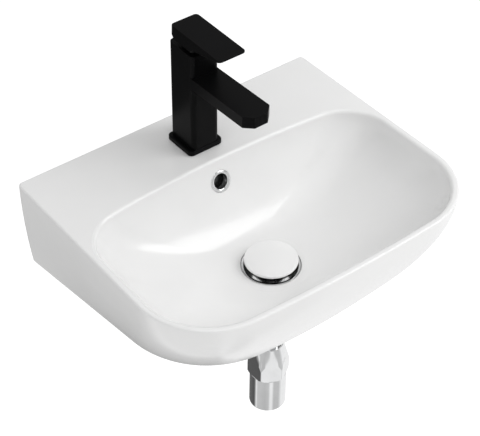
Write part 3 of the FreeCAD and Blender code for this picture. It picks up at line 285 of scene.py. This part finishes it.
def texturize(material, shader, patchScale, grainScale, gloss, change, tones, bump, distance):
    # tones: the darkest and lightest shade of the base colour over the patches
    nodes, links = material.node_tree.nodes, material.node_tree.links
    texture = nodes.new("ShaderNodeGroup")
    texture.node_tree = fineTexture
    for label, value in (
            ("Patch Scale", patchScale), ("Grain Scale", grainScale),
            ("Gloss", gloss), ("Gloss Change", change)):
        texture.inputs[label].default_value = value
    links.new(texture.outputs["Roughness"], shader.inputs["Roughness"])
    colour = shader.inputs["Base Color"].default_value
    ramp = nodes.new("ShaderNodeValToRGB")
    ramp.color_ramp.elements[0].position = 0.3
    ramp.color_ramp.elements[1].position = 0.7
    ramp.color_ramp.elements[0].color = [part * tones[0] for part in colour[:3]] + [1]
    ramp.color_ramp.elements[1].color = [min(part * tones[1], 1.0) for part in colour[:3]] + [1]
    links.new(texture.outputs["Patches"], ramp.inputs["Fac"])
    links.new(ramp.outputs["Color"], shader.inputs["Base Color"])
    relief = nodes.new("ShaderNodeBump")
    relief.inputs["Strength"].default_value = bump
    relief.inputs["Distance"].default_value = distance
    links.new(texture.outputs["Grain"], relief.inputs["Height"])
    links.new(relief.outputs["Normal"], shader.inputs["Normal"])
    return texture


def boxMask(nodes, links, place, low, high):
    # 1 inside a box of Object coordinates, in millimetres, and 0 outside
    parts = nodes.new("ShaderNodeSeparateXYZ")
    links.new(place, parts.inputs["Vector"])
    total = None
    for axis, (bottom, top) in enumerate(zip(low, high)):
        inside = nodes.new("ShaderNodeMath")
        inside.operation = "COMPARE"
        inside.inputs[1].default_value = (bottom + top) / 2000
        inside.inputs[2].default_value = (top - bottom) / 2000
        links.new(parts.outputs[axis], inside.inputs[0])
        if total is None:
            total = inside
        else:
            both = nodes.new("ShaderNodeMath")
            both.operation = "MULTIPLY"
            links.new(total.outputs[0], both.inputs[0])
            links.new(inside.outputs[0], both.inputs[1])
            total = both
    return total.outputs[0]


def paintAreas(material, shader, areas):
    # areas: boxes of Object coordinates, each with a base colour of its own
    nodes, links = material.node_tree.nodes, material.node_tree.links
    place = nodes.new("ShaderNodeTexCoord").outputs["Object"]
    colour = shader.inputs["Base Color"].links[0].from_socket
    for (low, high), tone in areas:
        blend = nodes.new("ShaderNodeMix")
        blend.data_type = "RGBA"
        blend.inputs[7].default_value = (*tone, 1.0)
        links.new(boxMask(nodes, links, place, low, high), blend.inputs[0])
        links.new(colour, blend.inputs[6])
        colour = blend.outputs[2]
    links.new(colour, shader.inputs["Base Color"])


def makeGlaze():
    material, shader = newFinish("glazedCeramic", glaze["colour"])
    texturize(material, shader, glaze["patchScale"], glaze["waveScale"], glaze["gloss"], glaze["softPatch"],
              glaze["tones"], glaze["waviness"], glaze["waveDepth"])
    # painted shade: the inside of the overflow duct darkened to near black; bare clay on the rear face
    # against the wall
    paintAreas(material, shader, ((glaze["duct"], glaze["paintedDuctShade"]), (glaze["rear"], glaze["rearClay"])))
    shader.inputs["IOR"].default_value = glaze["ior"]
    shader.inputs["Coat Weight"].default_value = glaze["coat"]
    shader.inputs["Coat Roughness"].default_value = glaze["coatGloss"]


def makeMetals():
    shared = metalTexture
    for name, values in metals.items():
        material, shader = newFinish(name, values["colour"], 1.0)
        texturize(material, shader, values["patchScale"], values["grain"], values["rough"],
                  shared["roughChange"], shared["tones"], shared["bump"], shared["depth"])
        # painted shade on the chrome inside the waste's throat
        if name == "chrome":
            paintAreas(material, shader, ((throat["box"], throat["tone"]),))


def makeMouldings():
    shared = mouldingTexture
    for name, values in mouldings.items():
        material, shader = newFinish(name, values["colour"])
        texturize(material, shader, shared["patchScale"], values["grain"], values["rough"],
                  shared["roughChange"], shared["tones"], values["bump"], shared["depth"])


def makeSatinBlack():
    material, shader = newFinish("satinBlack", satinBlack["colour"])
    values = satinBlack
    texturize(material, shader, values["patchScale"], values["grain"], values["rough"], values["roughChange"],
              values["tones"], values["bump"], values["depth"])
    shader.inputs["IOR"].default_value = values["ior"]


makeGlaze()
makeMetals()
makeMouldings()
makeSatinBlack()
print("finishes made:", len(materials))

# every CAD node that stays takes a finish from its slot
slotFinish = {
    "ceramic": "glazedCeramic",
    "satin_black": "satinBlack",
    "black_plastic": "blackMoulding",
    "chrome": "chrome",
    "brass": "brass",
    "steel": "steel",
    "rubber": "blackRubber",
    "white_plastic": "whiteMoulding",
    "disc_ceramic": "discWhite",
}
for entry in frame["record"]["subparts"]:
    node = frame["nodes"][entry["node"]]
    node.data.materials.clear()
    node.data.materials.append(materials[slotFinish[entry["material_slot"]]])
print("CAD nodes finished")

# tap: one casting with its spout, heights in the row's frame
tapShape = {
    "axisY": -59.0, "half": 19.25, "rear": -35.75, "front": -82.25, "foot": 77.0, "top": 212.0, "corner": 6.0,
    "tip": -186.0, "tipTop": 186.38, "rootTop": 180.41, "rootInset": 2.0, "thick": 14.9, "chamfer": 10.0,
    "ease": 0.55, "spigotRadius": 15.8, "spigotHeight": 72.0, "spigotLength": 12.0,
    "wells": ((12.5, 181.0, 214.0), (13.5, 204.9, 215.0)),
    "inletRadius": 4.46, "inletSide": 6.5, "inletBack": 3.5, "inletHeight": 71.0, "inletDepth": 14.0,
    "outletRadius": 9.0, "outletBack": 12.5, "outletRise": 4.0, "outletDepth": 14.0,
}


def makeTapBody():
    shape = tapShape
    column = addBlock("tapColumn", (-shape["half"], shape["front"], shape["foot"]),
                      (shape["half"], shape["rear"], shape["top"]))
    startEdit(column, "EDGE")
    pickEdges(column, isUpright)
    bpy.ops.mesh.bevel(offset=shape["corner"] / 1000, segments=8, profile=0.5)
    endEdit()
    root = shape["axisY"] + shape["rootInset"]
    spout = addBlock("tapSpout", (-shape["half"], shape["tip"], shape["tipTop"] - shape["thick"]),
                     (shape["half"], root, shape["tipTop"]))
    startEdit(spout, "FACE")
    pickFaces(spout, lambda centre, normal: normal.y > 0.9)
    bpy.ops.transform.translate(value=(0, 0, (shape["rootTop"] - shape["tipTop"]) / 1000))
    endEdit()
    startEdit(spout, "EDGE")
    pickEdges(spout, lambda a, b: isUpright(a, b) and a.y < shape["tip"] + 1)
    bpy.ops.mesh.bevel(offset=shape["chamfer"] / 1000, segments=1)
    endEdit()
    carve(column, spout, "UNION")
    startEdit(column, "FACE")
    bpy.ops.mesh.select_all(action="SELECT")
    bpy.ops.mesh.dissolve_limited(angle_limit=math.radians(0.5))
    endEdit()
    easeEdges(column, shape["ease"], 3, 28)
    carve(column, addRod("spigot", shape["spigotRadius"], shape["spigotLength"],
                         (0, shape["axisY"], shape["spigotHeight"]), sides=96), "UNION")
    for radius, low, high in shape["wells"]:
        carve(column, addRod("bore", radius, high - low, (0, shape["axisY"], (low + high) / 2), sides=96))
    for side in (-shape["inletSide"], shape["inletSide"]):
        carve(column, addRod("inlet", shape["inletRadius"], shape["inletDepth"],
                             (side, shape["axisY"] + shape["inletBack"], shape["inletHeight"]), sides=32))
    spoutLow = shape["tipTop"] - shape["thick"]
    carve(column, addRod("outlet", shape["outletRadius"], shape["outletDepth"],
                         (0, shape["tip"] + shape["outletBack"], spoutLow + shape["outletRise"]), sides=64))
    column.name = "tapBody"
    column.data.name = "tapBody"
    smooth(column, 30)
    return finishPiece(column, "satinBlack", "satin_black", "fixture", "tap_body")


# lever: a block over the cartridge that runs out into a thin flat paddle
leverShape = {
    "half": 19.0, "rear": -39.5, "blockFront": -82.25, "reach": -133.5,
    "low": 218.0, "step": 222.5, "high": 235.8, "blockOverlap": 6.0,
    "tipThick": 2.0, "rearCut": 6.5, "corner": 5.0, "ease": 0.6,
    "socketLow": (-3.1, -61.6, 210.0), "socketHigh": (3.1, -56.4, 231.4), "screwHeight": 227.0,
    "buttonRadius": 4.05, "buttonDepth": 6.0, "buttonIn": 0.4,
    "screwRadius": 2.55, "screwDepth": 20.0, "screwIn": 9.0,
}


def makeLever():
    shape = leverShape
    paddle = addBlock("leverTop", (-shape["half"], shape["blockFront"], shape["step"]),
                      (shape["half"], shape["rear"], shape["high"]))
    startEdit(paddle, "FACE")
    pickFaces(paddle, lambda centre, normal: normal.y < -0.9)
    bpy.ops.mesh.extrude_region_move(
        TRANSFORM_OT_translate={"value": (0, (shape["reach"] - shape["blockFront"]) / 1000, 0)})
    endEdit()
    startEdit(paddle, "EDGE")
    pickEdges(paddle, lambda a, b: max(a.y, b.y) < shape["reach"] + 0.1
              and max(a.z, b.z) < shape["step"] + 0.1)
    bpy.ops.transform.translate(value=(0, 0, (shape["high"] - shape["tipThick"] - shape["step"]) / 1000))
    endEdit()
    block = addBlock("leverBlock", (-shape["half"], shape["blockFront"], shape["low"]),
                     (shape["half"], shape["rear"], shape["step"] + shape["blockOverlap"]))
    startEdit(block, "EDGE")
    pickEdges(block, lambda a, b: min(a.y, b.y) > shape["rear"] - 0.1 and max(a.z, b.z) < shape["low"] + 0.1)
    bpy.ops.transform.translate(value=(0, -shape["rearCut"] / 1000, 0))
    endEdit()
    carve(paddle, block, "UNION")
    startEdit(paddle, "FACE")
    bpy.ops.mesh.select_all(action="SELECT")
    bpy.ops.mesh.dissolve_limited(angle_limit=math.radians(0.5))
    endEdit()
    startEdit(paddle, "EDGE")
    pickEdges(paddle, isUpright)
    bpy.ops.mesh.bevel(offset=shape["corner"] / 1000, segments=7, profile=0.5)
    endEdit()
    easeEdges(paddle, shape["ease"], 3, 28)
    carve(paddle, addBlock("stemSocket", shape["socketLow"], shape["socketHigh"]))
    lengthwise = (math.radians(90), 0, 0)
    carve(paddle, addRod("buttonSeat", shape["buttonRadius"], shape["buttonDepth"],
                         (0, shape["rear"] + shape["buttonIn"], shape["screwHeight"]), lengthwise, 48))
    carve(paddle, addRod("screwHole", shape["screwRadius"], shape["screwDepth"],
                         (0, shape["rear"] - shape["screwIn"], shape["screwHeight"]), lengthwise, 32))
    paddle.name = "leverHandle"
    paddle.data.name = "leverHandle"
    smooth(paddle, 30)
    return finishPiece(paddle, "satinBlack", "satin_black", "lever", "lever_handle")


# foot: the square plate under the tap
footShape = {"half": 24.5, "low": 71.2, "high": 77.0, "corner": 6.5, "top": 1.6,
             "bore": 16.0, "boreHeight": 74.0, "boreLength": 12.0}


def makeFoot():
    shape = footShape
    centre = tapShape["axisY"]
    foot = addBlock("tapFoot", (-shape["half"], centre - shape["half"], shape["low"]),
                    (shape["half"], centre + shape["half"], shape["high"]))
    startEdit(foot, "EDGE")
    pickEdges(foot, isUpright)
    bpy.ops.mesh.bevel(offset=shape["corner"] / 1000, segments=9, profile=0.5)
    endEdit()
    startEdit(foot, "EDGE")
    pickEdges(foot, lambda a, b: min(a.z, b.z) > shape["high"] - 0.1)
    bpy.ops.mesh.bevel(offset=shape["top"] / 1000, segments=5, profile=0.5)
    endEdit()
    bore = (0, centre, shape["boreHeight"])
    carve(foot, addRod("footBore", shape["bore"], shape["boreLength"], bore, sides=96))
    smooth(foot, 40)
    return finishPiece(foot, "satinBlack", "satin_black", "fixture", "tap_base_plate")


# waste: round cap, flange and barrel, all turned about the waste's axis
wastePlace = (0.0, -210.0, -22.0)
capShape = {"radius": 32.5, "low": 6.5, "edge": 3.2, "crown": 3.4,
            "round": 1.4, "roundTurn": 84, "roundFoot": 1.0}


def makeCap():
    shape = capShape
    radius, low = shape["radius"], shape["low"]
    rim = low + shape["edge"]
    ball = (radius ** 2 + shape["crown"] ** 2) / (2 * shape["crown"])
    roundLow = rim - shape["roundFoot"]
    # the low edge is eased with given points, the upper one follows an arc
    profile = [(0, low), (radius - 0.8, low), (radius - 0.2, low + 0.25), (radius, low + 0.9),
               (radius, roundLow)]
    for step in range(1, 6):
        turn = math.radians(shape["roundTurn"] * step / 5)
        profile.append((radius - shape["round"] * (1 - math.cos(turn)),
                        roundLow + shape["round"] * math.sin(turn)))
    first = profile[-1]
    top = rim + shape["crown"]
    for step in range(1, 13):
        reach = first[0] * (1 - step / 12)
        bulge = top - (ball - math.sqrt(ball ** 2 - reach ** 2))
        profile.append((reach, min(bulge, top)))
    cap = addTurned("plugCap", profile, wastePlace, 128)
    smooth(cap, 40)
    return finishPiece(cap, "glazedCeramic", "ceramic", "plug", "plug_cap")


# overflow: a trim ring with a sleeve that enters the ceramic
ringShape = {"place": (0.0, -109.56, 39.7), "tilt": 70.5, "outer": 14.0, "inner": 9.6, "sleeve": 10.8,
             "thick": 2.2, "length": 9.0, "edge": 0.5, "innerEdge": 0.4, "fullness": 0.8}


def makeOverflowRing():
    shape = ringShape
    outer, inner, thick = shape["outer"], shape["inner"], shape["thick"]
    middle = (outer + inner) / 2
    half = (outer - inner) / 2
    sleeve, edge, end = shape["sleeve"], shape["edge"], thick - shape["length"]
    profile = [(inner, end), (sleeve, end), (sleeve, 0), (outer, 0), (outer, edge)]
    for step in range(1, 12):
        turn = math.radians(180 * step / 12)
        rise = (thick - edge) * math.sin(turn) ** shape["fullness"]
        profile.append((middle + half * math.cos(turn), edge + rise))
    profile += [(inner, shape["innerEdge"]), (inner, end)]
    trim = addTurned("overflowTrim", profile, shape["place"], 96, shape["tilt"])
    smooth(trim, 50)
    return finishPiece(trim, "chrome", "chrome", "fixture", "overflow_ring")


# radius and height pairs below the face of the flange
wasteShape = {
    "barrel": ((18.0, -95.0), (20.6, -95.0), (20.95, -94.6), (20.95, -8.8)),
    "flange": ((35.5, -2.6), (35.5, -0.55), (35.35, -0.2), (35.0, 0.0), (33.2, 0.0), (32.4, -0.25),
               (31.6, -0.75)),
    "throat": ((19.0, -6.1), (18.3, -6.6), (18.0, -7.4), (18.0, -95.0)),
    "slotHalf": 7.0, "slotReach": 30.0, "slotLow": 23.0, "slotHigh": 13.5,
}


def makeWasteBody():
    shape = wasteShape
    profile = [*shape["barrel"], *shape["flange"], *shape["throat"]]
    waste = addTurned("wasteFlange", profile, wastePlace, 128)
    x, y, z = wastePlace
    low, high = z - shape["slotLow"], z - shape["slotHigh"]
    half, reach = shape["slotHalf"], shape["slotReach"]
    for wide, deep in ((half, reach), (reach, half)):
        carve(waste, addBlock("wasteSlot", (x - wide, y - deep, low), (x + wide, y + deep, high)))
    smooth(waste, 35)
    return finishPiece(waste, "chrome", "chrome", "fixture", "waste_body")


# tail: the cone with its hexagon and the cylinder under it
couplingShape = {
    "corner": 26.7, "top": 18.5, "high": -152.0, "foot": -202.5, "cone": 32.0, "turn": 1.6,
    "footRadius": 24.5, "footRise": 6.0, "clear": 2.0, "ease": 0.5,
    "bore": 16.2, "boreLength": 70.0, "boreHeight": -180.0, "thread": 20.5, "roof": -172.0, "threadRun": 5.0,
}


def makeCoupling():
    shape = couplingShape
    x, y, _ = wastePlace
    high, foot, corner = shape["high"], shape["foot"], shape["corner"]
    top, roof, run = shape["top"], shape["roof"], shape["threadRun"]
    turned = (0, 0, math.radians(shape["turn"]))
    hexagon = addRod("coupling", corner, high - foot, (x, y, (high + foot) / 2), turned, 6)
    easeEdges(hexagon, shape["ease"], 3, 40)
    wide = corner + shape["clear"]
    slope = (corner - top) / shape["cone"]
    profile = [(0, high), (top - 0.9, high), (top - 0.3, high - 0.3), (top, high - 0.9),
               (wide, high - (wide - top) / slope), (wide, foot + shape["footRise"]),
               (shape["footRadius"], foot), (0, foot)]
    cone = addTurned("couplingCone", profile, (x, y, 0), 128)
    carve(hexagon, cone, "INTERSECT")
    carve(hexagon, addRod("bore", shape["bore"], shape["boreLength"], (x, y, shape["boreHeight"]), sides=96))
    middle = (x, y, (roof + foot - run) / 2)
    carve(hexagon, addRod("thread", shape["thread"], roof - foot + run, middle, sides=96))
    hexagon.name = "outletCoupling"
    hexagon.data.name = "outletCoupling"
    smooth(hexagon, 25)
    return finishPiece(hexagon, "chrome", "chrome", "fixture", "outlet_nut")


# radius and height pairs in the row's frame
socketShape = {
    "outside": ((20.1, -256.0), (21.8, -256.0), (22.6, -255.75), (23.1, -255.2), (23.3, -254.4),
                (23.3, -203.0), (22.9, -202.5)),
    "neck": ((20.45, -202.5), (20.45, -177.0), (16.2, -177.0), (16.2, -207.5)),
    "bore": ((20.1, -207.5), (20.1, -256.0)),
}


def makeSocket():
    profile = [*socketShape["outside"], *socketShape["neck"], *socketShape["bore"]]
    socket = addTurned("outletSocket", profile, (wastePlace[0], wastePlace[1], 0), 128)
    smooth(socket, 35)
    return finishPiece(socket, "chrome", "chrome", "fixture", "outlet_socket")


makeTapBody()
makeLever()
makeFoot()
print("tap modelled")
makeCap()
makeOverflowRing()
makeWasteBody()
makeCoupling()
makeSocket()
print("waste and overflow modelled")

# nuts and pipes that only show from below or behind: copies of the solids with eased edges
lowParts = {
    "tail_pipe": (0.4, "chrome", "chrome"),
    "tail_union_nut": (0.5, "chrome", "chrome"),
    "waste_back_nut": (0.6, "chrome", "chrome"),
    "waste_washer": (0.3, "whiteMoulding", "white_plastic"),
    "waste_lower_seal": (0.8, "blackRubber", "rubber"),
    "horseshoe_washer": (0.25, "steel", "steel"),
    "horseshoe_seal": (0.4, "blackRubber", "rubber"),
    "fixing_nut": (0.3, "steel", "steel"),
    "cartridge_shroud": (0.2, "satinBlack", "satin_black"),
}
for node, (width, material, slot) in lowParts.items():
    words = node.split("_")
    part = mergedCopy(node, words[0] + "".join(word.capitalize() for word in words[1:]))
    easeEdges(part, width, 2, 40)
    smooth(part, 30)
    finishPiece(part, material, slot, "fixture", node)
print("low parts eased")

# camera, as the photograph looks at the object
view = {"turn": -37.9, "height": 41.3, "roll": 0.6, "distance": 1.908, "target": (-0.0008, -0.150, 0.0095),
        "lens": 119.5, "sensor": 36.0, "farClip": 50.0}


def makeCamera():
    turn, height, roll = (math.radians(view[key]) for key in ("turn", "height", "roll"))
    back = Vector((math.sin(turn) * math.cos(height), -math.cos(turn) * math.cos(height), math.sin(height)))
    right = Vector((math.cos(turn), math.sin(turn), 0.0))
    up = back.cross(right)
    rolledRight = right * math.cos(roll) + up * math.sin(roll)
    rolledUp = up * math.cos(roll) - right * math.sin(roll)
    data = bpy.data.cameras.new("photoCamera")
    data.lens = view["lens"]
    data.sensor_width = view["sensor"]
    data.sensor_fit = "HORIZONTAL"
    data.clip_end = view["farClip"]
    camera = bpy.data.objects.new("photoCamera", data)
    scene.collection.objects.link(camera)
    axes = Matrix((rolledRight, rolledUp, back)).transposed().to_4x4()
    place = Vector(view["target"]) + back * view["distance"]
    camera.matrix_world = Matrix.Translation(place) @ axes
    scene.camera = camera


makeCamera()

# floor, 0.85 m under the rim, and the soft lights of a studio
studio = {"floorHeight": -0.78, "floorSize": 14.0, "floorColour": 0.8, "floorRough": 0.9,
          "floorGlow": 0.5, "floorBounce": 0.4, "world": 0.56}
# painted reflection: the bands of brightness that polished parts see in the floor, once round the waste:
# share of the turn and brightness
paintedReflectionBands = [(0.0, 0.62), (0.1, 0.56), (0.16, 0.62), (0.185, 0.94), (0.22, 0.94), (0.25, 0.6), (0.34, 0.62),
         (0.4, 1.0), (0.6, 0.94), (0.68, 0.17), (0.89, 0.1), (0.915, 0.4), (0.935, 0.94), (0.965, 0.62)]
lamps = {
    "keyRight": {"place": (1.4, -1.25, 1.45), "aim": (0.0, -0.2, 0.0), "size": 1.3, "power": 20.5},
    "fillLeft": {"place": (-1.8, -1.4, 1.6), "aim": (0.0, -0.2, 0.0), "size": 2.2, "power": 7.0},
    "overhead": {"place": (0.1, -0.7, 2.4), "aim": (0.0, -0.2, 0.0), "size": 2.2, "power": 10.0},
}


def makeFloor():
    deselectAll()
    bpy.ops.mesh.primitive_plane_add(size=studio["floorSize"], location=(0, 0, studio["floorHeight"]))
    floor = bpy.context.object
    floor.name = "studioFloor"
    material = bpy.data.materials.new("paleFloor")
    material.use_nodes = True
    nodes, links = material.node_tree.nodes, material.node_tree.links
    shader = nodes["Principled BSDF"]
    shader.inputs["Base Color"].default_value = (studio["floorColour"],) * 3 + (1,)
    shader.inputs["Roughness"].default_value = studio["floorRough"]
    shader.inputs["Specular IOR Level"].default_value = 0.0
    rays = nodes.new("ShaderNodeLightPath")
    glow = nodes.new("ShaderNodeMath")
    glow.operation = "MULTIPLY_ADD"
    glow.inputs[1].default_value = studio["floorGlow"] - studio["floorBounce"]
    glow.inputs[2].default_value = studio["floorBounce"]
    links.new(rays.outputs["Is Camera Ray"], glow.inputs[0])
    shader.inputs["Emission Color"].default_value = (1, 1, 1, 1)
    links.new(glow.outputs[0], shader.inputs["Emission Strength"])
    place = nodes.new("ShaderNodeTexCoord")
    shift = nodes.new("ShaderNodeMapping")
    shift.inputs["Location"].default_value = (0.0, -wastePlace[1] / 1000, 0.0)
    turn = nodes.new("ShaderNodeTexGradient")
    turn.gradient_type = "RADIAL"
    ramp = nodes.new("ShaderNodeValToRGB")
    while len(ramp.color_ramp.elements) < len(paintedReflectionBands):
        ramp.color_ramp.elements.new(0.5)
    for stop, (share, level) in zip(ramp.color_ramp.elements, paintedReflectionBands):
        stop.position = share
        stop.color = (level, level, level, 1)
    # painted reflection: glossy rays see the floor as glowing bands instead of its lit surface
    paintedReflection = nodes.new("ShaderNodeEmission")
    blend = nodes.new("ShaderNodeMixShader")
    links.new(place.outputs["Object"], shift.inputs["Vector"])
    links.new(shift.outputs["Vector"], turn.inputs["Vector"])
    links.new(turn.outputs["Fac"], ramp.inputs["Fac"])
    links.new(ramp.outputs["Color"], paintedReflection.inputs["Color"])
    links.new(rays.outputs["Is Glossy Ray"], blend.inputs["Fac"])
    links.new(shader.outputs["BSDF"], blend.inputs[1])
    links.new(paintedReflection.outputs["Emission"], blend.inputs[2])
    links.new(blend.outputs["Shader"], nodes["Material Output"].inputs["Surface"])
    floor.data.materials.append(material)


def makeLamps():
    for name, values in lamps.items():
        data = bpy.data.lights.new(name, "AREA")
        data.shape = "SQUARE"
        data.size = values["size"]
        data.energy = values["power"]
        lamp = bpy.data.objects.new(name, data)
        scene.collection.objects.link(lamp)
        lamp.location = values["place"]
        aim = Vector(values["aim"]) - Vector(values["place"])
        lamp.rotation_euler = aim.to_track_quat("-Z", "Y").to_euler()


def makeWorld():
    world = bpy.data.worlds.new("studioWorld")
    world.use_nodes = True
    nodes, links = world.node_tree.nodes, world.node_tree.links
    background = nodes["Background"]
    background.inputs["Color"].default_value = (1, 1, 1, 1)
    rays = nodes.new("ShaderNodeLightPath")
    level = nodes.new("ShaderNodeMath")
    level.operation = "MULTIPLY_ADD"
    level.inputs[1].default_value = 1.0 - studio["world"]
    level.inputs[2].default_value = studio["world"]
    links.new(rays.outputs["Is Camera Ray"], level.inputs[0])
    links.new(level.outputs[0], background.inputs["Strength"])
    scene.world = world


makeFloor()
makeLamps()
makeWorld()
scene.view_settings.view_transform = "Standard"
print("camera, floor and lights ready")
